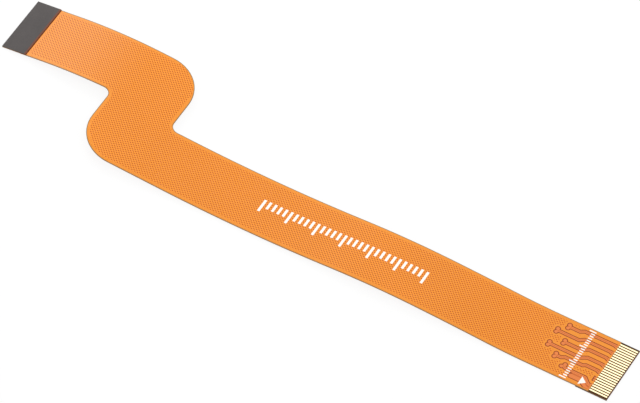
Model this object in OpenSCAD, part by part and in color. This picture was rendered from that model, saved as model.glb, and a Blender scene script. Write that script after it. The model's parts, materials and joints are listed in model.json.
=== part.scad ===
// Flat flex cable: an S-shaped copper-and-film laminate with a stiffened tail at each end.
// X runs along the cable, Y across it and Z up. The cable lies on Z = 0 in the gentle bow
// that it takes on a table. The right tail has its contacts on the top face and its
// stiffener underneath. The left tail is the other way up.

/* [Film] */
// Length along the film, from the edge of one tail to the edge of the other
cable_length = 120; // [110:1:200]
// Thickness of the film with its two coverlays
film_thickness = 0.12; // [0.09:0.01:0.2]
// Thickness of one coverlay, which is open over the contacts
coverlay_thickness = 0.03; // [0.025:0.005:0.04]

/* [Crossing between the arms] */
// Distance along the left arm to the crossing
crossing_start = 21; // [16:0.5:40]
// Width of the crossing
crossing_width = 12; // [9:0.5:20]
// Clear distance between the two arms, measured across the cable
arm_gap = 1.7; // [0.5:0.1:10]
// Radius of the two outer corners
outer_radius = 7; // [1:0.25:8.5]
// Radius of the two inner corners
inner_radius = 1.5; // [0.25:0.05:4]

/* [Contacts] */
// Number of contacts on each tail
contact_count = 22; // [21:1:40]
// Distance from one contact's middle to the next one's
contact_pitch = 0.5; // [0.45:0.05:0.8]
// Width of one contact
contact_width = 0.3; // [0.2:0.01:0.35]
// Thickness of the copper and gold of one contact
contact_thickness = 0.02; // [0.015:0.001:0.024]
// Distance from a long edge of the film to the middle of the nearest contact
edge_margin = 0.5; // [0.4:0.05:1]
// Length of tail that the coverlay leaves open
window_length = 3.3; // [2:0.1:3.6]
// Bare film between the contacts' ends and the edge of the tail
contact_setback = 0.15; // [0.05:0.05:0.5]

/* [Stiffeners] */
// Thickness of a stiffener
stiffener_thickness = 0.18; // [0.1:0.01:0.3]
// Length of the left tail's stiffener, on the top face
left_stiffener_length = 4.55; // [4:0.05:7]
// Length of the right tail's stiffener, on the underside
right_stiffener_length = 5.6; // [4:0.1:12]

/* [Copper under the top coverlay] */
// Height by which the copper lifts the coverlay
copper_relief = 0.015; // [0.008:0.001:0.03]
// Copper-free strip along the film's edges
copper_setback = 0.25; // [0.1:0.05:0.6]
// Width of one signal trace
trace_width = 0.2; // [0.12:0.01:0.22]
// Gap between the two traces of a pair
trace_gap = 0.08; // [0.05:0.01:0.1]
// Radius of the round land at the far end of a trace
land_radius = 0.31; // [0.2:0.01:0.34]
// Distance between the two lands of a pair
land_pitch = 0.68; // [0.68:0.01:0.8]
// Gap between the ground copper and any other copper
clearance = 0.16; // [0.08:0.01:0.18]

/* [Bow] */
// Straight length at the left tail
left_straight = 8; // [7:0.5:12]
// Straight and level length at the right tail, which takes the trace field
right_straight = 14.5; // [14.5:0.5:25]
// Slope of the film as it falls away from the crossing, in degrees
first_fall = -3.5; // [-5:0.1:-2]
// Slope as it rises into the second crest
second_rise = 4; // [2:0.1:6]
// Slope just beyond the second crest
second_fall = -2.5; // [-4:0.1:-1]
// Steepest slope before the right tail levels out
last_fall = -4; // [-6:0.1:-3]

/* [Hidden] */
$fn = 48;
// Largest turn between two facets of the bow, in degrees
facet_turn = 0.75;

arm_width = (contact_count - 1) * contact_pitch + 2 * edge_margin;
far_arm_y = arm_width + arm_gap;
cable_width = far_arm_y + arm_width;
crossing_end = crossing_start + crossing_width;
trace_pitch = trace_width + trace_gap;

// The bow is a chain of arcs, each with its share of the length between the two straights
free_length = cable_length - left_straight - right_straight;
crest_share = 16;
fall_share = 14;
trough_share = 32;
hump_share = 16;
drop_share = 12;
landing_share = 8;
share_total = crest_share + fall_share + trough_share + hump_share + drop_share + landing_share;
one_share = free_length / share_total;

// Level change of every arc but the first, in degrees times length
level_change = one_share * (fall_share * first_fall
    + trough_share * (first_fall + second_rise) / 2
    + hump_share * (second_rise + second_fall) / 2
    + drop_share * (second_fall + last_fall) / 2
    + landing_share * last_fall / 2);
// The right tail lies on its stiffener, and the left one comes down on the base film in its window
level_difference = (stiffener_thickness + coverlay_thickness) * 180 / PI;
// Slope of the left tail that brings its edge back down to the table
tail_rise = (level_difference - level_change - one_share * crest_share * first_fall / 2)
    / (left_straight + one_share * crest_share / 2);

// Each stretch is its length, its slope at the left and its slope at the right
stretches = [
    [left_straight, tail_rise, tail_rise],
    [one_share * crest_share, tail_rise, first_fall],
    [one_share * fall_share, first_fall, first_fall],
    [one_share * trough_share, first_fall, second_rise],
    [one_share * hump_share, second_rise, second_fall],
    [one_share * drop_share, second_fall, last_fall],
    [one_share * landing_share, last_fall, 0],
    [right_straight, 0, 0]
];

// Signed radius of a curved stretch, positive when it curls upwards
function bend_radius(s) = s[0] / ((s[2] - s[1]) * PI / 180);
// Slope at a share t of the way along a stretch
function slope_at(s, t) = s[1] + (s[2] - s[1]) * t;
// Step in X and Z from a stretch's left end to that place
function step_to(s, t) = s[1] == s[2]
    ? t * s[0] * [cos(s[1]), sin(s[1])]
    : bend_radius(s) * [sin(slope_at(s, t)) - sin(s[1]), cos(s[1]) - cos(slope_at(s, t))];
// Left end of stretch number i, with the left tail's lower edge at [0, 0]
function stretch_start(i) = i == 0 ? [0, 0] : stretch_start(i - 1) + step_to(stretches[i - 1], 1);

tail_end = stretch_start(len(stretches));
// The left tail leans back, so its upper corner is the furthest point to the left
lean_back = (film_thickness + stiffener_thickness) * sin(tail_rise);
origin_shift = [-(tail_end[0] - lean_back) / 2, -cable_width / 2, stiffener_thickness - tail_end[1]];
tall = 40;

// Signal routes on the right tail. Each has the number of its first contact and its corners:
// the distance in from the tail's edge, and the offset across from the middle of its two contacts
fan_stub = 0.1;
fan_end = 4;
signal_routes = [
    [2, [[fan_end, 0], [5, 0.95], [8.6, 0.95], [9.1, 1.3]]],
    [8, [[fan_end, 0.18], [6, 0.18], [6.5, -0.12], [9.6, -0.12], [10.2, -0.48], [11.2, -0.48]]],
    [11, [[fan_end, 0.15], [6.5, 0.15], [7.5, -0.43], [13.2, -0.43]]],
    [14, [[fan_end, 0.18], [7.1, 0.18], [8.2, -0.47], [11.2, -0.47]]],
    [17, [[fan_end, 0.1], [8.6, 0.1], [9.3, -0.42], [13.3, -0.42]]],
    [20, [[fan_end, 0.1], [9.3, 0.1], [10, -0.32], [12, -0.32]]]
];
pair_count = len(signal_routes);
// Under the film each pair spreads over its last stretch to reach its lands
land_fan = 0.8;
// Straight pieces that an underside trace's bend and its land are drawn in
bend_steps = 8;
land_steps = 24;

// Two contacts that end just behind the window and lead nowhere
spare_contact = 5;
spare_stub = 0.45;
// The supply contact widens into an island beside the first signal pair: where its neck ends on
// the inner and the outer side, and the corners between them
neck_ends = [3.75, 4.4];
supply_corners = [[4.1, 0.28], [5.1, 1.2], [7.3, 1.2], [7.5, 1], [7.5, 0.65], [7.3, 0.45], [5.4, 0.45]];

function contact_y(i) = edge_margin + (i - 1) * contact_pitch;
function pair_y(i) = contact_y(i) + contact_pitch / 2;

// ---- frames of the two tails -------------------------------------------------

// X inwards from the left tail's edge along the pitched film, Z = 0 on the film's underside
module at_left_tail() {
    translate(origin_shift) translate([0, far_arm_y, 0]) rotate([0, -tail_rise, 0]) children();
}

// X inwards from the right tail's edge, Z = 0 on the film's underside
module at_right_tail() {
    translate(origin_shift) translate([tail_end[0], 0, tail_end[1]]) mirror([1, 0, 0]) children();
}

// ---- the bowed laminate ------------------------------------------------------

// Number of facets on a stretch
function facets(s) = max(1, ceil(abs(s[2] - s[1]) / facet_turn));
// Points along the film at one height above its underside, from left to right
function level_line(height) = [
    for (i = [0:len(stretches) - 1], k = [(i == 0 ? 0 : 1):facets(stretches[i])])
        let (s = stretches[i], t = k / facets(s))
            stretch_start(i) + step_to(s, t) + height * [-sin(slope_at(s, t)), cos(slope_at(s, t))]
];
function reversed(points) = [for (i = [len(points) - 1:-1:0]) points[i]];

// A layer of the laminate: the bowed side view, cut to the plan given as its child
module layer(low, high) {
    translate(origin_shift) intersection() {
        translate([0, cable_width + 1, 0]) rotate([90, 0, 0]) linear_extrude(cable_width + 2)
            polygon(concat(level_line(low), reversed(level_line(high))));
        translate([0, 0, -tall / 2]) linear_extrude(tall) children();
    }
}

// What a rounded outer corner takes off, for a corner at the origin with its arms along +X and +Y
module corner_waste(radius) {
    difference() {
        square(2 * radius, center = true);
        translate([radius, radius]) circle(r = radius);
        translate([0, radius]) square([2 * radius, radius]);
        translate([radius, 0]) square([radius, 2 * radius]);
    }
}

// Plan of the cable with every edge moved in by inset, and its tails cut at two X positions
module plan(inset, left_x, right_x) {
    outer = outer_radius - inset;
    inner = inner_radius + inset;
    low_x = crossing_start + inset;
    high_x = crossing_end - inset;
    difference() {
        union() {
            translate([low_x, inset]) square([right_x - low_x, arm_width - 2 * inset]);
            translate([left_x, far_arm_y + inset]) square([high_x - left_x, arm_width - 2 * inset]);
            translate([low_x, inset]) square([high_x - low_x, cable_width - 2 * inset]);
            translate([low_x - inner, far_arm_y + inset - inner]) square(inner);
            translate([high_x, arm_width - inset]) square(inner);
        }
        translate([low_x, inset]) corner_waste(outer);
        translate([high_x, cable_width - inset]) rotate(180) corner_waste(outer);
        translate([low_x - inner, far_arm_y + inset - inner]) circle(r = inner);
        translate([high_x + inner, arm_width - inset + inner]) circle(r = inner);
    }
}

module flex_film() {
    window_width = arm_width + 2;
    color("darkorange") difference() {
        layer(0, film_thickness) plan(0, -1, tail_end[0] + 1);
        at_right_tail() translate([-1, -1, film_thickness - coverlay_thickness])
            cube([window_length + 1, window_width, 1]);
        at_left_tail() translate([-1, -1, coverlay_thickness - 1])
            cube([window_length + 1, window_width, 1]);
    }
}

// ---- copper that shows through the top coverlay --------------------------------

// A strip of even width along a list of points, round at the corners
module strip(points, width) {
    for (i = [0:len(points) - 2]) {
        along = points[i + 1] - points[i];
        translate(points[i]) rotate(atan2(along[1], along[0])) translate([0, -width / 2])
            square([norm(along), width]);
        if (i > 0) translate(points[i]) circle(d = width);
    }
}

// The route of one pair, from the end of its fan to its lands
function route(pair) = [for (p = pair[1]) [p[0], pair_y(pair[0]) + p[1]]];
function last(points) = points[len(points) - 1];
// Direction of a route from its corner number i to the next one
function heading(points, i) = atan2(points[i + 1][1] - points[i][1], points[i + 1][0] - points[i][0]);
// A route moved sideways by an offset, corner by corner
function beside(points, offset) = [
    for (i = [0:len(points) - 1])
        let (before = heading(points, max(i - 1, 0)), after = heading(points, min(i, len(points) - 2)),
            middle = (before + after) / 2, reach = offset / cos((after - before) / 2))
            points[i] + reach * [-sin(middle), cos(middle)]
];

// Plan of one signal pair with all its copper grown by a margin
module pair_plan(pair, grow) {
    points = route(pair);
    for (side = [-1, 1]) {
        contact_middle = pair_y(pair[0]) + side * contact_pitch / 2;
        strip(concat(
            [[window_length - grow, contact_middle], [window_length + fan_stub, contact_middle]],
            beside(points, side * trace_pitch / 2)), trace_width + 2 * grow);
        translate(last(beside(points, side * land_pitch / 2))) circle(r = land_radius + grow);
    }
}

// Plan of the spare contacts' stubs behind the window
module stub_plan(grow) {
    for (i = [0, 1])
        translate([window_length, contact_y(spare_contact + i) - contact_width / 2 - grow])
            square([spare_stub + grow, contact_width + 2 * grow]);
}

// Plan of the supply island and the neck that joins it to the first contact
module island_plan(grow) {
    half = contact_width / 2;
    corners = concat(
        [[window_length - grow, -half], [window_length - grow, half], [neck_ends[0], half]],
        supply_corners, [[neck_ends[1], -half]]);
    outline = [for (p = corners) [p[0], contact_y(1) + p[1]]];
    polygon(outline);
    if (grow > 0) strip(concat(outline, [outline[0], outline[1]]), 2 * grow);
}

// ---- copper that shows through the bottom coverlay -----------------------------

// Radius of a lane in a bend, between the bend's inner and outer corner
function lane_radius(share) = inner_radius + (outer_radius - inner_radius) * share;
function bend(center, radius, from, to, steps) = [
    for (k = [0:steps])
        let (a = from + (to - from) * k / steps) center + radius * [cos(a), sin(a)]
];
// Centre of the land of one trace of a pair, seen from above
function land_place(pair, side) =
    let (p = last(beside(route(pair), side * land_pitch / 2))) [tail_end[0] - p[0], p[1]];
// The way of one pair under the film: left arm, crossing, right arm, and on to its lands
function underside_route(pair) =
    let (
        share = pair_y(pair[0]) / arm_width,
        left_y = far_arm_y + pair_y(pair[0]),
        lane_x = crossing_start + crossing_width * share,
        right_y = last(route(pair))[1],
        first = lane_radius(share),
        second = lane_radius(1 - right_y / arm_width)
    )
    concat(
        [[fan_end, left_y]],
        bend([lane_x - first, left_y - first], first, 90, 0, bend_steps),
        bend([lane_x + second, right_y + second], second, 180, 270, bend_steps),
        [[tail_end[0] - last(route(pair))[0] - land_fan, right_y]]
    );

// A trace of even width along a list of points, mitred at the corners, that ends in a round land
module trace_to_land(points, width, radius) {
    ends = len(points) - 1;
    // Half the angle of the land's rim that the trace takes up
    mouth = asin(width / 2 / radius);
    around = 180 - mouth;
    way = heading(points, ends - 1);
    left_side = beside(points, width / 2);
    right_side = beside(points, -width / 2);
    polygon(concat(
        [for (i = [0:ends - 1]) left_side[i]],
        bend(last(points), radius, way + around, way - around, land_steps),
        [for (i = [ends - 1:-1:0]) right_side[i]]));
}

// The lands are the far ends of the plated holes that lead up to each pair's lands on top
module underside_traces() {
    color("sienna") layer(-copper_relief, 0)
        for (pair = signal_routes, side = [-1, 1]) {
            contact_middle = far_arm_y + pair_y(pair[0]) + side * contact_pitch / 2;
            trace_to_land(concat(
                [[window_length, contact_middle], [window_length + fan_stub, contact_middle]],
                beside(underside_route(pair), side * trace_pitch / 2),
                [land_place(pair, side)]), trace_width, land_radius);
        }
}

// ---- copper on the top face of the right tail ----------------------------------

// One height of copper on the top face of the right tail
module tail_copper() {
    at_right_tail() translate([0, 0, film_thickness]) linear_extrude(copper_relief) children();
}

module signal_pair(i) {
    color("sienna") tail_copper() pair_plan(signal_routes[i - 1], 0);
}

module supply_island() {
    color("sienna") tail_copper() island_plan(0);
}

module spare_stubs() {
    color("sienna") tail_copper() stub_plan(0);
}

// The ground copper fills the plan, clear of the film's edges and of every other trace
module ground_copper() {
    color("orange") layer(film_thickness, film_thickness + copper_relief) difference() {
        plan(copper_setback, left_stiffener_length, tail_end[0] - window_length);
        translate([tail_end[0], 0]) mirror([1, 0]) {
            for (pair = signal_routes) pair_plan(pair, clearance);
            stub_plan(clearance);
            island_plan(clearance);
        }
    }
}

// ---- stiffeners and contacts ---------------------------------------------------

module left_stiffener() {
    color("dimgray") at_left_tail() translate([0, 0, film_thickness])
        cube([left_stiffener_length, arm_width, stiffener_thickness]);
}

module right_stiffener() {
    color("dimgray") at_right_tail() translate([0, 0, -stiffener_thickness])
        cube([right_stiffener_length, arm_width, stiffener_thickness]);
}

module contact() {
    translate([contact_setback, -contact_width / 2, 0])
        cube([window_length - contact_setback, contact_width, contact_thickness]);
}

// Contacts count from the front edge of each tail
module left_contact(i) {
    color("gold") at_left_tail() translate([0, contact_y(i), coverlay_thickness - contact_thickness]) contact();
}

module right_contact(i) {
    color("gold") at_right_tail() translate([0, contact_y(i), film_thickness - coverlay_thickness]) contact();
}

flex_film();
ground_copper();
left_stiffener();
right_stiffener();
supply_island();
spare_stubs();
underside_traces();
for (i = [1:pair_count]) signal_pair(i);
for (i = [1:contact_count]) {
    left_contact(i);
    right_contact(i);
}
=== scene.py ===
# %% [markdown]
# # A flat flex cable
#
# The real thing is one thin sheet: a polyimide base with copper on it and an amber cover film
# (the coverlay) over the copper. Both ends are stiffened and carry bare gold contacts. The CAD
# model already holds every solid at its true size. This script gives each surface its finish:
# the hatched copper under the film, the dark moats round the signal pairs, the gold, and the ink.

# %% Load the frame
import json
import math

import bmesh
import bpy
from mathutils import Matrix, Vector
from mathutils.kdtree import KDTree


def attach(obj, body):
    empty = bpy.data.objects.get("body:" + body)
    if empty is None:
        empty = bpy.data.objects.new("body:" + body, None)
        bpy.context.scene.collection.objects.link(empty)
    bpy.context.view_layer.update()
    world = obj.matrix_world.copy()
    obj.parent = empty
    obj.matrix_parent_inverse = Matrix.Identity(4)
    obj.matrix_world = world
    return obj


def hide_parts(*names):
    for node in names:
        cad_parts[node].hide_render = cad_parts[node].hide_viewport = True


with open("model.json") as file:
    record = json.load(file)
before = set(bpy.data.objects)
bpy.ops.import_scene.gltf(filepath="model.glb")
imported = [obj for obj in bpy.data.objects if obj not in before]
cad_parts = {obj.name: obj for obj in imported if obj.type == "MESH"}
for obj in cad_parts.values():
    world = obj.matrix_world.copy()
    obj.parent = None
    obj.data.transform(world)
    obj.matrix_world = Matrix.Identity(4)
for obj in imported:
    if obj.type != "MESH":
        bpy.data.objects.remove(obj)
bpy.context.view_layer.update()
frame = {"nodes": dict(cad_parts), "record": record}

nodes = frame["nodes"]
MM = 0.001
print("CAD nodes:", len(nodes))

# %% [markdown]
# ## The bow of the film
#
# A flex cable never lies quite flat. From the side it is a chain of straights and gentle arcs,
# and every piece of this model lies somewhere on that line. So a place on the cable is best
# written flat: a distance u along the film, a distance v across it and a height h above its
# underside. These are the same stretches as in the CAD source, each with its length and its
# slope at both ends.

# %% The same driving sizes as the CAD source, in millimetres
CABLE_LENGTH = 120
ARM_GAP = 1.7
CROSSING_START, CROSSING_WIDTH = 21, 12
CONTACT_COUNT, CONTACT_PITCH, EDGE_MARGIN = 22, 0.5, 0.5
FILM, COVERLAY, RELIEF = 0.12, 0.03, 0.015
STIFFENER, LEFT_STIFFENER = 0.18, 4.55
WINDOW = 3.3
LEFT_STRAIGHT, RIGHT_STRAIGHT = 8, 14.5
SHARES = [16, 14, 32, 16, 12, 8]
FALL, RISE, SECOND_FALL, LAST_FALL = -3.5, 4, -2.5, -4
FACET_TURN = 0.75

ARM_WIDTH = (CONTACT_COUNT - 1) * CONTACT_PITCH + 2 * EDGE_MARGIN
FAR_ARM = ARM_WIDTH + ARM_GAP
CABLE_WIDTH = FAR_ARM + ARM_WIDTH
share = (CABLE_LENGTH - LEFT_STRAIGHT - RIGHT_STRAIGHT) / sum(SHARES)
arcs = [share * s for s in SHARES]

level_change = (
    arcs[1] * FALL
    + arcs[2] * (FALL + RISE) / 2
    + arcs[3] * (RISE + SECOND_FALL) / 2
    + arcs[4] * (SECOND_FALL + LAST_FALL) / 2
    + arcs[5] * LAST_FALL / 2
)
level_difference = math.degrees(STIFFENER + COVERLAY)
TAIL_RISE = (level_difference - level_change - arcs[0] * FALL / 2) / (LEFT_STRAIGHT + arcs[0] / 2)
slopes = [TAIL_RISE, TAIL_RISE, FALL, FALL, RISE, SECOND_FALL, LAST_FALL, 0, 0]
lengths = [LEFT_STRAIGHT, *arcs, RIGHT_STRAIGHT]
stretches = [(n, math.radians(a), math.radians(b)) for n, a, b in zip(lengths, slopes, slopes[1:])]
print("left tail rises at", round(TAIL_RISE, 2), "degrees")

# %% From a flat place to a bowed one


def step_along(stretch, t):
    """The way from a stretch's left end to a share t of it, and the slope there."""
    length, a, b = stretch
    slope = a + (b - a) * t
    if a == b:
        return t * length * math.cos(a), t * length * math.sin(a), slope
    radius = length / (b - a)
    return radius * (math.sin(slope) - math.sin(a)), radius * (math.cos(a) - math.cos(slope)), slope


starts = [(0.0, 0.0, 0.0)]
for stretch in stretches:
    dx, dz, _ = step_along(stretch, 1)
    u0, x0, z0 = starts[-1]
    starts.append((u0 + stretch[0], x0 + dx, z0 + dz))
TAIL_X, TAIL_Z = starts[-1][1:]
lean_back = (FILM + STIFFENER) * math.sin(math.radians(TAIL_RISE))
SHIFT = Vector((-(TAIL_X - lean_back) / 2, -CABLE_WIDTH / 2, STIFFENER - TAIL_Z))


def side_place(u, h, i=None):
    """X and Z of a flat place (u, h), and the slope of the film there."""
    if i is None:
        i = max(k for k in range(len(stretches)) if k == 0 or starts[k][0] <= u)
    dx, dz, slope = step_along(stretches[i], (u - starts[i][0]) / stretches[i][0])
    x = starts[i][1] + dx - h * math.sin(slope) + SHIFT.x
    return x, starts[i][2] + dz + h * math.cos(slope) + SHIFT.z, slope


def place(u, v, h):
    """A flat place in the frame, in metres."""
    x, z, _ = side_place(u, h)
    return Vector((x, v + SHIFT.y, z)) * MM


tail_ends = [place(0, FAR_ARM, 0), place(CABLE_LENGTH, 0, 0)]
print("tail ends:", [[round(c, 6) for c in end] for end in tail_ends])

# %% [markdown]
# ## The camera
#
# The cable is seen from its front right, from above, through a long lens, so that its two edges
# stay almost parallel. The camera looks at one point from a distance and two angles, and leans
# a little to one side.

# %% Place the camera
AIM = Vector((1.47, -1.06, 0.8)) * MM
DISTANCE, LENS = 0.9509, 330.7
ELEVATION, AZIMUTH, LEAN = math.radians(50.44), math.radians(-26.66), math.radians(-3.72)

forward = Vector((
    math.sin(AZIMUTH) * math.cos(ELEVATION),
    math.cos(AZIMUTH) * math.cos(ELEVATION),
    -math.sin(ELEVATION),
))
level = forward.cross(Vector((0, 0, 1))).normalized()
upright = level.cross(forward)
camera_up = upright * math.cos(LEAN) + level * math.sin(LEAN)
camera_right = forward.cross(camera_up)
camera_data = bpy.data.cameras.new("camera")
camera_data.lens = LENS
camera_data.clip_start, camera_data.clip_end = 0.05, 20
camera = bpy.data.objects.new("camera", camera_data)
bpy.context.scene.collection.objects.link(camera)
turn = Matrix((camera_right, camera_up, -forward)).transposed()
camera.matrix_world = Matrix.Translation(AIM - forward * DISTANCE) @ turn.to_4x4()
bpy.context.scene.camera = camera
print("camera at", [round(c, 4) for c in camera.location])

# %% [markdown]
# ## The film and the copper field, on a finer bow
#
# The CAD solids carry the right outline, but their bow is made of flat facets, and gloss shows
# every one of them. A finer copy of each is made in four moves: lay the solid out flat, cut it
# along a close grid, note on each point how far it is from the nearest edge, and bend it back on
# the exact arcs. The flat places and the edge distances stay on the mesh as attributes, and the
# materials draw their patterns from them.

# %% Lay a point of a CAD solid out flat
facets = []
for i, stretch in enumerate(stretches):
    bend = abs(math.degrees(stretch[2] - stretch[1]))
    count = max(1, math.ceil(bend / FACET_TURN - 1e-9))
    facets += [(i, starts[i][0] + stretch[0] * k / count) for k in range(count)]
facets.append((len(stretches) - 1, CABLE_LENGTH))


def facet_line(h):
    """The flat distance, X and Z of every facet's end, at one height above the underside."""
    return [(u, *side_place(u, h, i)[:2]) for i, u in facets]


def lay_flat(point, lines):
    """The flat place of a point in the frame, on the nearest of a solid's facet lines."""
    x, y, z = (c / MM for c in point)
    best = None
    for h, line in lines.items():
        k = max(n for n in range(len(line) - 1) if n == 0 or line[n][1] <= x)
        (ua, xa, za), (ub, xb, zb) = line[k], line[k + 1]
        t = (x - xa) / (xb - xa)
        miss = abs(z - (za + t * (zb - za)))
        if best is None or miss < best[0]:
            best = (miss, ua + t * (ub - ua), h)
    return Vector((best[1], y - SHIFT.y, best[2]))


print("facets on the CAD bow:", len(facets) - 1)

# %% Cut a mesh along a grid


def steps(low, high, pitch):
    """Even places between two ends, about a pitch apart, without the ends."""
    count = round((high - low) / pitch)
    return [low + (high - low) * k / count for k in range(1, count)]


def cut(bm, where, axis):
    """Cut the whole mesh across one axis at a list of places."""
    normal = Vector((axis == "u", axis == "v", 0))
    for place_on_axis in where:
        bmesh.ops.bisect_plane(
            bm, geom=bm.verts[:] + bm.edges[:] + bm.faces[:], dist=1e-5,
            plane_co=normal * place_on_axis, plane_no=normal,
        )


print("a 0.5 mm grid cuts the cable in", len(steps(0, CABLE_LENGTH, 0.5)), "places along it")

# %% Measure how far a place is from the nearest edge
LEVEL, STEEP = 0.9, 0.5
RIM_STEP = 0.05


def rim_tree(bm):
    """The places along every outline of the level faces, for finding the nearest one."""
    samples = []
    for edge in bm.edges:
        tilts = [abs(face.normal.z) for face in edge.link_faces]
        if len(tilts) == 2 and max(tilts) > LEVEL and min(tilts) < STEEP:
            a, b = (vert.co for vert in edge.verts)
            count = 1 + int((b - a).length / RIM_STEP)
            samples += [a.lerp(b, k / count).xy for k in range(count)]
    tree = KDTree(len(samples))
    for k, sample in enumerate(samples):
        tree.insert(sample.to_3d(), k)
    tree.balance()
    return tree


def from_rim(tree, points):
    return [tree.find(Vector((p.x, p.y, 0)))[2] for p in points]


print("edges are sampled every", RIM_STEP, "mm")

# %% Make the finer copy


def refined(node, name, heights, u_cuts, v_cuts):
    """A finer copy of a CAD node, with the attributes flat and rim, both in millimetres."""
    lines = {h: facet_line(h) for h in heights}
    bm = bmesh.new()
    bm.from_mesh(nodes[node].data)
    bmesh.ops.remove_doubles(bm, verts=bm.verts[:], dist=1e-7)
    for vert in bm.verts:
        vert.co = lay_flat(vert.co, lines)
    bmesh.ops.dissolve_limit(bm, angle_limit=math.radians(0.5), verts=bm.verts[:], edges=bm.edges[:])
    cut(bm, u_cuts, "u")
    cut(bm, v_cuts, "v")
    bm.normal_update()

    tree = rim_tree(bm)
    flat = [vert.co.copy() for vert in bm.verts]
    rim = from_rim(tree, flat)
    for vert, p in zip(bm.verts, flat):
        vert.co = place(*p)
    mesh = bpy.data.meshes.new(name)
    bm.to_mesh(mesh)
    bm.free()
    flat_places = mesh.attributes.new("flat", "FLOAT_VECTOR", "POINT")
    flat_places.data.foreach_set("vector", [c for p in flat for c in p])
    mesh.attributes.new("rim", "FLOAT", "POINT").data.foreach_set("value", rim)
    mesh.shade_smooth()
    mesh.set_sharp_from_angle(angle=math.radians(35))
    piece = bpy.data.objects.new(name, mesh)
    bpy.context.scene.collection.objects.link(piece)
    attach(piece, "root")
    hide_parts(node)
    print(name, "has", len(mesh.polygons), "faces")
    return piece, tree


COARSE, MEDIUM, FINE, ALONG_TRACE = 0.5, 0.25, 0.1, 1.0
TAIL_FIELD = CABLE_LENGTH - RIGHT_STRAIGHT
grid_u = steps(0, TAIL_FIELD, COARSE) + steps(TAIL_FIELD - COARSE, CABLE_LENGTH, MEDIUM)
grid_v = steps(0, ARM_WIDTH, MEDIUM) + steps(ARM_WIDTH, CABLE_WIDTH, COARSE)
copper_field, copper_rim = refined(
    "ground_copper", "copper_field", (FILM, FILM + RELIEF), grid_u, grid_v
)
fine_u = steps(0, TAIL_FIELD, COARSE) + steps(TAIL_FIELD - COARSE, CABLE_LENGTH - WINDOW, FINE)
fine_v = steps(0, ARM_WIDTH, FINE) + steps(ARM_WIDTH, CABLE_WIDTH, COARSE)
film, _ = refined("flex_film", "film", (0, COVERLAY, FILM - COVERLAY, FILM), fine_u, fine_v)
bottom_traces, _ = refined(
    "underside_traces", "bottom_traces", (-RELIEF, 0), steps(0, CABLE_LENGTH, ALONG_TRACE), []
)

# %% Note on the film how far each place is from the copper
places = [Vector(value.vector) for value in film.data.attributes["flat"].data]
moat = film.data.attributes.new("moat", "FLOAT", "POINT")
moat.data.foreach_set("value", from_rim(copper_rim, places))
print("film places measured:", len(places))

# %% [markdown]
# ## The middle line of the cable
#
# The whole object is one free cable. Its middle line runs down the middle of the left arm, over
# the crossing and along the right arm.

# %% The middle line
ROUTE_STEP, ROUTE_TURN = 4, 15
mid_u = CROSSING_START + CROSSING_WIDTH / 2
turn_radius = FAR_ARM / 2
left_mid, right_mid = FAR_ARM + ARM_WIDTH / 2, ARM_WIDTH / 2
before = [u for u in steps(-ROUTE_STEP, mid_u - turn_radius, ROUTE_STEP) if u > 0.5]
after = [u for u in steps(mid_u + turn_radius, CABLE_LENGTH + ROUTE_STEP, ROUTE_STEP) if u < CABLE_LENGTH]
bends = [math.radians(a) for a in range(0, 91, ROUTE_TURN)]
middle = [(0, left_mid)]
middle += [(u, left_mid) for u in before]
middle += [
    (mid_u - turn_radius * (1 - math.sin(a)), left_mid - turn_radius * (1 - math.cos(a)))
    for a in bends
]
middle += [
    (mid_u + turn_radius * (1 - math.cos(a)), right_mid + turn_radius * (1 - math.sin(a)))
    for a in bends[1:]
]
middle += [(u, right_mid) for u in after]
middle.append((CABLE_LENGTH, right_mid))

# %% [markdown]
# ## Colours and small node helpers
#
# Colours are written as they look on a screen and turned into the linear values that a shader
# works with. The helpers only save typing: one adds a math node, one makes a ramp, one mixes two
# colours, and the last ones build a node group, place it, and start a material.

# %% Helpers for materials


def seen(red, green, blue):
    """A screen colour, 0 to 255, as linear values."""
    parts = [c / 255 for c in (red, green, blue)]
    return tuple(p / 12.92 if p <= 0.04045 else ((p + 0.055) / 1.055) ** 2.4 for p in parts) + (1.0,)


def math_node(tree, operation, *values, clamp=False):
    """A math node fed by numbers or sockets. Returns its output."""
    node = tree.nodes.new("ShaderNodeMath")
    node.operation = operation
    node.use_clamp = clamp
    for socket, value in zip(node.inputs, values):
        if isinstance(value, (int, float)):
            socket.default_value = value
        else:
            tree.links.new(value, socket)
    return node.outputs[0]


def ramp(tree, value, start, width):
    """Rises from 0 to 1 over a width, from a start on. A negative width makes it fall from 1."""
    return math_node(tree, "DIVIDE", math_node(tree, "SUBTRACT", value, start), width, clamp=True)


def mixed(tree, factor, first, second):
    """A colour mix fed by colours or sockets. Returns its output."""
    node = tree.nodes.new("ShaderNodeMix")
    node.data_type = "RGBA"
    for socket, value in ((node.inputs[0], factor), (node.inputs[6], first), (node.inputs[7], second)):
        if isinstance(value, bpy.types.NodeSocket):
            tree.links.new(value, socket)
        else:
            socket.default_value = value
    return node.outputs[2]


def attribute(tree, name, output):
    """The output of an attribute that the refined meshes carry."""
    node = tree.nodes.new("ShaderNodeAttribute")
    node.attribute_name = name
    return node.outputs[output]


def new_group(name, inputs, outputs):
    """An empty node group with float, vector or colour sockets."""
    group = bpy.data.node_groups.new(name, "ShaderNodeTree")
    for label, kind, value in inputs:
        socket = group.interface.new_socket(label, in_out="INPUT", socket_type="NodeSocket" + kind)
        if value is not None:
            socket.default_value = value
    for label, kind in outputs:
        group.interface.new_socket(label, in_out="OUTPUT", socket_type="NodeSocket" + kind)
    return group, group.nodes.new("NodeGroupInput"), group.nodes.new("NodeGroupOutput")


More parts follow.
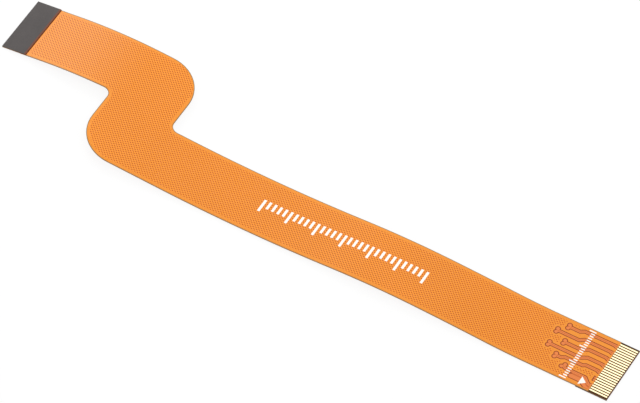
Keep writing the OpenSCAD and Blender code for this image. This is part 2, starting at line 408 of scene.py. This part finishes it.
def place_group(tree, group, **values):
    """A group placed in a material, with its values set or linked."""
    node = tree.nodes.new("ShaderNodeGroup")
    node.node_tree = group
    for label, value in values.items():
        socket = node.inputs[label.replace("_", " ")]
        if isinstance(value, bpy.types.NodeSocket):
            tree.links.new(value, socket)
        else:
            socket.default_value = value
    return node


def new_material(name, roughness, gloss=0.2, metallic=0.0):
    """A material, its node tree and its shader, with the values that are the same all over."""
    material = bpy.data.materials.new(name)
    material.use_nodes = True
    shader = material.node_tree.nodes["Principled BSDF"]
    shader.inputs["Roughness"].default_value = roughness
    shader.inputs["Specular IOR Level"].default_value = gloss
    shader.inputs["Metallic"].default_value = metallic
    return material, material.node_tree, shader


print("helpers ready")

# %% [markdown]
# ## Three shared effects
#
# **Hatch** draws the lattice of small openings etched into the copper, at 45 degrees to the
# cable. The real openings are too many to model one by one, and lie under the film, where they
# show as colour. The group works on the flat place, so the lattice follows the bow.
#
# **Haze** is the slow drift of tone in pressed film, and every surface of the cable has it.
# **Grain** is the fine unevenness of a surface, and all have it but the bare film and its cut edge.

# %% The hatch group
hatch, hatch_in, hatch_out = new_group(
    "copper hatch",
    [
        ("Place", "Vector", None),
        ("Pitch", "Float", 0.387),
        ("Opening", "Float", 0.5),
        ("Softness", "Float", 0.1),
    ],
    [("Hole", "Float")],
)
split = hatch.nodes.new("ShaderNodeSeparateXYZ")
hatch.links.new(hatch_in.outputs["Place"], split.inputs[0])
pitch_across = math_node(hatch, "MULTIPLY", hatch_in.outputs["Pitch"], math.sqrt(2))
walls = []
for operation in ("ADD", "SUBTRACT"):
    diagonal = math_node(hatch, operation, split.outputs[0], split.outputs[1])
    turns = math_node(hatch, "FRACT", math_node(hatch, "DIVIDE", diagonal, pitch_across))
    walls.append(math_node(hatch, "ABSOLUTE", math_node(hatch, "SUBTRACT", turns, 0.5)))
furthest = math_node(hatch, "MAXIMUM", *walls)
half_opening = math_node(hatch, "MULTIPLY", hatch_in.outputs["Opening"], 0.5)
to_wall = math_node(hatch, "SUBTRACT", half_opening, furthest)
inside = math_node(hatch, "DIVIDE", to_wall, hatch_in.outputs["Softness"])
hatch.links.new(math_node(hatch, "ADD", inside, 0.5, clamp=True), hatch_out.inputs["Hole"])
print("hatch group:", len(hatch.nodes), "nodes")

# %% The haze group
haze, haze_in, haze_out = new_group(
    "film haze",
    [("Place", "Vector", None), ("Scale", "Float", 0.08), ("Amount", "Float", 0.1)],
    [("Tone", "Float")],
)
drift = haze.nodes.new("ShaderNodeTexNoise")
drift.inputs["Detail"].default_value = 2
haze.links.new(haze_in.outputs["Place"], drift.inputs["Vector"])
haze.links.new(haze_in.outputs["Scale"], drift.inputs["Scale"])
centred = math_node(haze, "SUBTRACT", drift.outputs["Fac"], 0.5)
haze.links.new(math_node(haze, "MULTIPLY", centred, haze_in.outputs["Amount"]), haze_out.inputs["Tone"])
print("haze group:", len(haze.nodes), "nodes")

# %% The grain group
grain, grain_in, grain_out = new_group(
    "surface grain",
    [("Place", "Vector", None), ("Scale", "Float", 4.0), ("Height", "Float", 1.0)],
    [("Height", "Float")],
)
specks = grain.nodes.new("ShaderNodeTexNoise")
specks.inputs["Detail"].default_value = 3
grain.links.new(grain_in.outputs["Place"], specks.inputs["Vector"])
grain.links.new(grain_in.outputs["Scale"], specks.inputs["Scale"])
speck_height = math_node(grain, "MULTIPLY", specks.outputs["Fac"], grain_in.outputs["Height"])
grain.links.new(speck_height, grain_out.inputs["Height"])
print("grain group:", len(grain.nodes), "nodes")

# %% Put haze and grain on a surface


def scaled_colour(tree, colour, tone):
    """A colour made lighter or darker by a tone near zero."""
    node = tree.nodes.new("ShaderNodeHueSaturation")
    tree.links.new(math_node(tree, "ADD", tone, 1.0), node.inputs["Value"])
    if isinstance(colour, bpy.types.NodeSocket):
        tree.links.new(colour, node.inputs["Color"])
    else:
        node.inputs["Color"].default_value = colour
    return node.outputs["Color"]


def hazed(tree, shader, colour, spot, scale, amount, extra=None):
    """Feed a colour with haze on it, and an extra tone if there is one, to the shader."""
    tone = place_group(tree, haze, Place=spot, Scale=scale, Amount=amount).outputs["Tone"]
    if extra is not None:
        tone = math_node(tree, "ADD", tone, extra)
    tree.links.new(scaled_colour(tree, colour, tone), shader.inputs["Base Color"])


def grained(tree, spot, scale, height):
    """The height of the grain at a place."""
    return place_group(tree, grain, Place=spot, Scale=scale, Height=height).outputs["Height"]


def bumped(tree, shader, height, distance):
    """Feed a height to the shader's normal. The distance is what a height of 1 stands for, in metres."""
    node = tree.nodes.new("ShaderNodeBump")
    node.inputs["Strength"].default_value = 1.0
    node.inputs["Distance"].default_value = distance
    tree.links.new(height, node.inputs["Height"])
    tree.links.new(node.outputs["Normal"], shader.inputs["Normal"])


FILM_ROUGHNESS, FILM_RELIEF = 0.3, 0.000004


def film_finish(tree, shader, colour, spot, scale=0.07, amount=0.1, openings=None):
    """Haze and grain of coverlay. Over openings in the copper it sinks a little."""
    hazed(tree, shader, colour, spot, scale, amount)
    height = grained(tree, spot, scale=3.0, height=0.3)
    if openings is not None:
        height = math_node(tree, "SUBTRACT", height, openings)
    bumped(tree, shader, height, FILM_RELIEF)


print("coverlay sinks by up to", FILM_RELIEF / MM, "mm")

# %% [markdown]
# ## The copper field under the coverlay
#
# Seen through the amber film, copper is a bright orange and an opening in it is a deeper brown.
# A band about 0.3 mm wide along every edge of the field is solid copper, so the hatch only
# starts inside that. The openings also let the coverlay sink a few micrometres, which a bump
# shows.

# %% The coverlay over copper
OVER_COPPER, OVER_OPENING = seen(241, 150, 42), seen(178, 68, 0)
OVER_BORDER, CLEAR_EDGE = seen(232, 141, 40), seen(140, 108, 56)
HATCH_PITCH, HATCH_OPENING, HATCH_SOFTNESS, HATCH_FADE = 0.387, 0.56, 0.26, 0.08
COPPER_BAND = 0.3


def hatched(tree, flat, rim, margin):
    """The openings in the copper, kept a margin away from the rim, and the mask of that margin."""
    holes = place_group(
        tree, hatch, Place=flat, Pitch=HATCH_PITCH, Opening=HATCH_OPENING, Softness=HATCH_SOFTNESS
    ).outputs["Hole"]
    within = ramp(tree, rim, margin, HATCH_FADE)
    return math_node(tree, "MULTIPLY", holes, within), within


over_copper, tree, shader = new_material("coverlay_over_copper", roughness=FILM_ROUGHNESS)
flat, rim = attribute(tree, "flat", "Vector"), attribute(tree, "rim", "Fac")
holes, within = hatched(tree, flat, rim, COPPER_BAND)
copper_tone = mixed(tree, within, OVER_BORDER, OVER_COPPER)
film_finish(tree, shader, mixed(tree, holes, copper_tone, OVER_OPENING), flat, openings=holes)
copper_field.data.materials.clear()
copper_field.data.materials.append(over_copper)
print("copper field finished")

# %% [markdown]
# ## The top of the film
#
# Where no copper lies under the coverlay the film is darker: red-brown in the moats round the
# traces, and olive at the very edge, where only clear film is left. Both follow from how far a
# place is from the film's own rim and from the copper's, so no outline has to be drawn again.

# %% The coverlay between the copper and the edge
OVER_MOAT, BETWEEN_TRACES = seen(142, 56, 4), seen(196, 98, 38)
EDGE_START, EDGE_FADE = 0.09, 0.06
BORDER_START, BORDER_FADE = 0.24, 0.03
MOAT_WIDTH, MOAT_FADE = 0.22, 0.06
coverlay, tree, shader = new_material("coverlay", roughness=FILM_ROUGHNESS)
flat, rim = attribute(tree, "flat", "Vector"), attribute(tree, "rim", "Fac")
border = mixed(tree, ramp(tree, rim, EDGE_START, EDGE_FADE), CLEAR_EDGE, OVER_BORDER)
past_moat = ramp(tree, attribute(tree, "moat", "Fac"), MOAT_WIDTH, MOAT_FADE)
between = mixed(tree, past_moat, OVER_MOAT, BETWEEN_TRACES)
colour = mixed(tree, ramp(tree, rim, BORDER_START, BORDER_FADE), border, between)
film_finish(tree, shader, colour, flat)
print("top coverlay ready")

# %% [markdown]
# ## The underside of the film
#
# A second hatched copper layer shows through the lower coverlay, in a slightly deeper tone than
# the top one has. It has no solid of its own, so its edge is drawn here too. The pairs of traces
# are solids, and run a shade lighter along their middle.

# %% The lower coverlay
BEHIND_COPPER, BEHIND_OPENING = seen(218, 128, 44), seen(190, 94, 24)
LOWER_BAND, LOWER_EDGE, LOWER_FADE = 0.55, 0.2, 0.06
underside, tree, shader = new_material("coverlay_underside", roughness=FILM_ROUGHNESS)
flat, rim = attribute(tree, "flat", "Vector"), attribute(tree, "rim", "Fac")
holes, _ = hatched(tree, flat, rim, LOWER_BAND)
behind = mixed(tree, holes, BEHIND_COPPER, BEHIND_OPENING)
colour = mixed(tree, ramp(tree, rim, LOWER_EDGE, LOWER_FADE), CLEAR_EDGE, behind)
film_finish(tree, shader, colour, flat, openings=holes)
print("underside ready")

# %% The traces under the lower coverlay
TRACE_SHOULDER, TRACE_CROWN = seen(206, 108, 30), seen(248, 164, 76)
SHOULDER_OF_TRACE = 0.05
over_bottom, tree, shader = new_material("coverlay_over_bottom_traces", roughness=FILM_ROUGHNESS)
flat, rim = attribute(tree, "flat", "Vector"), attribute(tree, "rim", "Fac")
colour = mixed(tree, ramp(tree, rim, 0.0, SHOULDER_OF_TRACE), TRACE_SHOULDER, TRACE_CROWN)
film_finish(tree, shader, colour, flat, scale=0.3, amount=0.12)
bottom_traces.data.materials.clear()
bottom_traces.data.materials.append(over_bottom)
print("bottom traces finished")

# %% [markdown]
# ## Bare film and cut sides
#
# In the windows the bare base film lies between the contacts, dark because the stiffener shows
# through it. The sides are where the cutting die went through all the layers.

# %% Bare film and cut sides
bare_film, tree, shader = new_material("bare_base_film", roughness=0.4)
hazed(tree, shader, seen(66, 42, 8), attribute(tree, "flat", "Vector"), scale=1.5, amount=0.25)
cut_edge, tree, shader = new_material("cut_edge", roughness=0.5)
hazed(tree, shader, seen(150, 88, 40), attribute(tree, "flat", "Vector"), scale=2.0, amount=0.3)
print("film materials:", [m.name for m in (coverlay, underside, bare_film, cut_edge)])

# %% Sort the film's faces by their height
HEIGHT_SLACK = 0.001
film.data.materials.clear()
for material in (coverlay, underside, bare_film, cut_edge):
    film.data.materials.append(material)
flat_heights = [value.vector.z for value in film.data.attributes["flat"].data]
for face in film.data.polygons:
    heights = [flat_heights[k] for k in face.vertices]
    if max(heights) - min(heights) > HEIGHT_SLACK:
        face.material_index = 3
    elif min(heights) > FILM - HEIGHT_SLACK:
        face.material_index = 0
    elif max(heights) < HEIGHT_SLACK:
        face.material_index = 1
    else:
        face.material_index = 2
print("film faces by material:", [sum(f.material_index == k for f in film.data.polygons) for k in range(4)])

# %% [markdown]
# ## The signal traces
#
# These CAD nodes, and the contacts and stiffeners after them, are true as they are and only need
# a finish. They carry no flat attribute, so their patterns use their place in the frame. A trace
# looks a little pinker than the hatched field round it, and part of that pink is painted sheen.

# %% The coverlay over the traces
# Part of the pink in this trace colour is painted sheen; the rest is the trace's own tone.
OVER_TRACE_AND_SHEEN = seen(222, 124, 60)


def frame_place(tree):
    """The place in the frame, in millimetres."""
    node = tree.nodes.new("ShaderNodeTexCoord")
    scale = tree.nodes.new("ShaderNodeVectorMath")
    scale.operation = "SCALE"
    scale.inputs["Scale"].default_value = 1 / MM
    tree.links.new(node.outputs["Object"], scale.inputs[0])
    return scale.outputs[0]


over_traces, tree, shader = new_material("coverlay_over_traces", roughness=FILM_ROUGHNESS)
film_finish(tree, shader, OVER_TRACE_AND_SHEEN, frame_place(tree), scale=0.6, amount=0.16)
print("traces ready")

# %% [markdown]
# ## The gold contacts
#
# A contact is copper with a thin coat of nickel and gold. Its top is flat and bright, and its
# long edges fall off where the etch bit under, so they mirror something darker. The fall is only
# 0.02 mm deep, so it is drawn across each contact as a darker shoulder, counted off by the pitch.

# %% Gold with a darker shoulder
CONTACT_TOP, CONTACT_SHOULDER = seen(255, 232, 188), seen(150, 116, 60)
SHOULDER_START, SHOULDER_FADE = 0.11, 0.04
gold, tree, shader = new_material("contact_gold", roughness=0.34, gloss=0.5, metallic=1.0)
spot = frame_place(tree)
across = tree.nodes.new("ShaderNodeSeparateXYZ")
tree.links.new(spot, across.inputs[0])
first_lane = EDGE_MARGIN - CONTACT_PITCH / 2 + SHIFT.y
on_left = math_node(tree, "LESS_THAN", across.outputs["X"], 0.0)
arm_start = math_node(tree, "ADD", math_node(tree, "MULTIPLY", on_left, FAR_ARM), first_lane)
along_row = math_node(tree, "SUBTRACT", across.outputs["Y"], arm_start)
in_lane = math_node(tree, "FRACT", math_node(tree, "DIVIDE", along_row, CONTACT_PITCH))
off_middle = math_node(tree, "ABSOLUTE", math_node(tree, "SUBTRACT", in_lane, 0.5))
off_middle = math_node(tree, "MULTIPLY", off_middle, CONTACT_PITCH)
shoulder = ramp(tree, off_middle, SHOULDER_START, SHOULDER_FADE)
colour = mixed(tree, shoulder, CONTACT_TOP, CONTACT_SHOULDER)
hazed(tree, shader, colour, spot, scale=1.2, amount=0.12)
bumped(tree, shader, grained(tree, spot, scale=12.0, height=0.5), distance=0.000002)
print("gold ready")

# %% [markdown]
# ## The stiffeners
#
# A stiffener is a plain dark sheet, glued on. Along its inner edge a thin brown band stands out
# on the top one, partly a line of glue and partly painted contact shadow. The sides show the layers
# of film and glue: red-brown where they face right, as the inner side of the left stiffener does,
# and elsewhere from dark brown to olive towards the ends of the cable. One material serves both
# stiffeners, and tells the sides by the way they face.

# %% Dark film with a band of glue and painted shadow
# The brown of the band along the inner edge is glue together with painted contact shadow.
STIFFENER_TOP, GLUE_AND_SHADOW = seen(68, 63, 62), seen(104, 54, 30)
INNER_SIDE, DARK_SIDE, OLIVE_SIDE = seen(92, 38, 14), seen(62, 30, 12), seen(92, 82, 62)
GLUE_SHADOW_BAND, GLUE_SHADOW_BLUR = 0.3, 0.06
SIDE_FADE_START, SIDE_FADE = 55.2, 2.5
FACING = 0.7
dark_film, tree, shader = new_material("stiffener_film", roughness=0.55, gloss=0.3)
spot = frame_place(tree)
across = tree.nodes.new("ShaderNodeSeparateXYZ")
tree.links.new(spot, across.inputs[0])
geometry = tree.nodes.new("ShaderNodeNewGeometry")
normal = tree.nodes.new("ShaderNodeSeparateXYZ")
tree.links.new(geometry.outputs["True Normal"], normal.inputs[0])
face_up = math_node(tree, "GREATER_THAN", math_node(tree, "ABSOLUTE", normal.outputs["Z"]), FACING)
face_in = math_node(tree, "GREATER_THAN", normal.outputs["X"], FACING)

# The band along the inner edge of the top stiffener is partly glue and partly painted contact shadow.
glue_shadow_middle = place(LEFT_STIFFENER - GLUE_SHADOW_BAND / 2, 0, FILM + STIFFENER).x / MM
off_middle = math_node(tree, "ABSOLUTE", math_node(tree, "SUBTRACT", across.outputs["X"], glue_shadow_middle))
on_band = ramp(tree, off_middle, (GLUE_SHADOW_BAND + GLUE_SHADOW_BLUR) / 2, -GLUE_SHADOW_BLUR)
outwards = math_node(tree, "ABSOLUTE", across.outputs["X"])
to_end = ramp(tree, outwards, SIDE_FADE_START, SIDE_FADE)
side = mixed(tree, face_in, mixed(tree, to_end, DARK_SIDE, OLIVE_SIDE), INNER_SIDE)
colour = mixed(tree, face_up, side, mixed(tree, on_band, STIFFENER_TOP, GLUE_AND_SHADOW))
fine = grained(tree, spot, scale=4.0, height=1.0)
speckle = math_node(tree, "MULTIPLY", math_node(tree, "SUBTRACT", fine, 0.5), 0.35)
hazed(tree, shader, colour, spot, scale=0.35, amount=0.45, extra=speckle)
bumped(tree, shader, fine, distance=0.000006)
print("stiffener ready, glue line at X =", round(glue_shadow_middle, 2), "mm")

# %% Give the CAD nodes their finish
finishes = {"coverlay_over_traces": over_traces, "contact_gold": gold, "stiffener": dark_film}
finished = 0
for entry in frame["record"]["subparts"]:
    if entry["material_slot"] in finishes:
        node_data = nodes[entry["node"]].data
        node_data.materials.clear()
        node_data.materials.append(finishes[entry["material_slot"]])
        finished += 1
print("CAD nodes finished:", finished)

# %% [markdown]
# ## The white ink
#
# Ink is screen printed on top of the coverlay, a few micrometres thick. Here it says nothing: a
# plain scale of strokes runs along the cable, another counts off the contacts, and a triangle
# marks the side of the first one. Each mark is drawn flat as an outline, given a thickness, and
# laid on the bowed film, so it has an edge that catches light as real ink does.

# %% The ink's finish
ink, tree, shader = new_material("white_ink", roughness=0.6)
spot = frame_place(tree)
hazed(tree, shader, seen(250, 246, 239), spot, scale=1.0, amount=0.05)
bumped(tree, shader, grained(tree, spot, scale=8.0, height=1.0), distance=0.000003)
print("ink ready")

# %% Lay flat marks on the film
INK, INK_CUT = 0.008, 0.5


def ink_piece(name, polygons, flat_origin, turn_degrees):
    """Ink polygons, drawn flat, turned, and laid on the film."""
    bm = bmesh.new()
    c, s = math.cos(math.radians(turn_degrees)), math.sin(math.radians(turn_degrees))
    for polygon in polygons:
        bm.faces.new([bm.verts.new((c * x - s * y, s * x + c * y, 0)) for x, y in polygon])
    bmesh.ops.remove_doubles(bm, verts=bm.verts[:], dist=1e-4)
    for face in bm.faces:
        if face.normal.z < 0:
            face.normal_flip()
    made = bmesh.ops.extrude_face_region(bm, geom=bm.faces[:])
    for item in made["geom"]:
        if isinstance(item, bmesh.types.BMVert):
            item.co.z = INK
    cut(bm, [k * INK_CUT for k in range(-80, 80)], "u")
    bmesh.ops.recalc_face_normals(bm, faces=bm.faces[:])
    base = FILM + RELIEF
    for vert in bm.verts:
        vert.co = place(vert.co.x + flat_origin[0], vert.co.y + flat_origin[1], base + vert.co.z)
    mesh = bpy.data.meshes.new(name)
    bm.to_mesh(mesh)
    bm.free()
    mesh.materials.append(ink)
    piece = bpy.data.objects.new(name, mesh)
    bpy.context.scene.collection.objects.link(piece)
    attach(piece, "root")
    print(name, "has", len(mesh.polygons), "faces")


def scale_marks(count, pitch, stroke, tall, low, every):
    """Strokes at an even pitch, every so many of them tall."""
    marks = []
    for k in range(count):
        left, right = k * pitch - stroke / 2, k * pitch + stroke / 2
        height = low if k % every else tall
        marks.append([(left, 0), (right, 0), (right, height), (left, height)])
    return marks


print("ink is", INK, "mm thick")

# %% The two scales and the triangle
LONG_SCALE_START = (83.8, 7.2)
long_scale = scale_marks(31, 1.0, stroke=0.44, tall=2.6, low=1.6, every=5)
ink_piece("print_long_scale", long_scale, LONG_SCALE_START, 180)

CONTACT_SCALE_START = (112.4, EDGE_MARGIN)
contact_scale = scale_marks(CONTACT_COUNT, CONTACT_PITCH, stroke=0.22, tall=1.2, low=0.7, every=7)
ink_piece("print_contact_scale", contact_scale, CONTACT_SCALE_START, 90)

TRIANGLE_START, TRIANGLE_DEPTH, TRIANGLE_BASE = (114.55, 0.43), 1.05, 1.72
triangle = [(0, 0), (TRIANGLE_DEPTH, TRIANGLE_BASE / 2), (0, TRIANGLE_BASE)]
ink_piece("print_triangle", [triangle], TRIANGLE_START, 0)

# %% [markdown]
# ## Floor and light
#
# The cable lies on a plain white table. To the camera, and in reflections, the table and the
# world are white, while the rest of the light stays at a level that shows a colour about as it
# was written. One soft sun adds a faint shadow, and a panel behind each tail gives the film its
# sheen, strongest on the left.

# %% The table
TABLE_REACH, TABLE_DROP, TABLE_GLOW = 3.0, 0.00002, 0.9
r = TABLE_REACH
table_mesh = bpy.data.meshes.new("table")
table_mesh.from_pydata([(-r, -r, 0), (r, -r, 0), (r, r, 0), (-r, r, 0)], [], [(0, 1, 2, 3)])
table = bpy.data.objects.new("table", table_mesh)
bpy.context.scene.collection.objects.link(table)
table.location.z = -TABLE_DROP
table_paint, tree, shader = new_material("table_paint", roughness=0.9, gloss=0.1)
shader.inputs["Base Color"].default_value = (0.94, 0.94, 0.94, 1)
glow = tree.nodes.new("ShaderNodeEmission")
light_path = tree.nodes.new("ShaderNodeLightPath")
blend_shader = tree.nodes.new("ShaderNodeMixShader")
seen_directly = math_node(tree, "MULTIPLY", light_path.outputs["Is Camera Ray"], TABLE_GLOW)
tree.links.new(seen_directly, blend_shader.inputs[0])
tree.links.new(shader.outputs[0], blend_shader.inputs[1])
tree.links.new(glow.outputs[0], blend_shader.inputs[2])
tree.links.new(blend_shader.outputs[0], tree.nodes["Material Output"].inputs["Surface"])
table_mesh.materials.append(table_paint)
print("table is", 2 * TABLE_REACH, "m wide")

# %% The world
AMBIENT = 0.72
world = bpy.data.worlds.new("studio")
bpy.context.scene.world = world
world.use_nodes = True
tree = world.node_tree
background = tree.nodes["Background"]
paths = tree.nodes.new("ShaderNodeLightPath").outputs
direct = math_node(tree, "MAXIMUM", paths["Is Camera Ray"], paths["Is Transmission Ray"])
white = math_node(tree, "MAXIMUM", direct, paths["Is Glossy Ray"])
strength = math_node(tree, "MAXIMUM", white, AMBIENT)
tree.links.new(strength, background.inputs["Strength"])
background.inputs["Color"].default_value = (1, 1, 1, 1)
print("world lights at", AMBIENT)

# %% The lamps
SUN_DIRECTION = (0.35, -0.25, 0.9)
PANEL_SIZE, PANEL_DISTANCE = 0.12, 0.3


def add_lamp(lamp_data, location, direction):
    """A lamp at a place, that shines from a direction."""
    lamp = bpy.data.objects.new(lamp_data.name, lamp_data)
    bpy.context.scene.collection.objects.link(lamp)
    lamp.location = location
    lamp.rotation_euler = Vector(direction).to_track_quat("Z", "Y").to_euler()


def sheen_panel(name, tail, direction, energy):
    """A square lamp that a tail of the cable mirrors towards the camera."""
    panel_data = bpy.data.lights.new(name, "AREA")
    panel_data.shape, panel_data.size, panel_data.energy = "SQUARE", PANEL_SIZE, energy
    add_lamp(panel_data, tail + Vector(direction) * PANEL_DISTANCE, direction)


sun_data = bpy.data.lights.new("sun", "SUN")
sun_data.energy, sun_data.angle = 0.92, math.radians(50)
add_lamp(sun_data, (0, 0, 0), SUN_DIRECTION)
left_tail, right_tail = place(LEFT_STRAIGHT, left_mid, FILM), place(TAIL_FIELD, right_mid, FILM)
sheen_panel("left_sheen_panel", left_tail, (-0.5, 0.57, 0.66), energy=0.22)
sheen_panel("right_sheen_panel", right_tail, (-0.29, 0.57, 0.77), energy=0.06)
bpy.context.scene.view_settings.view_transform = "Standard"
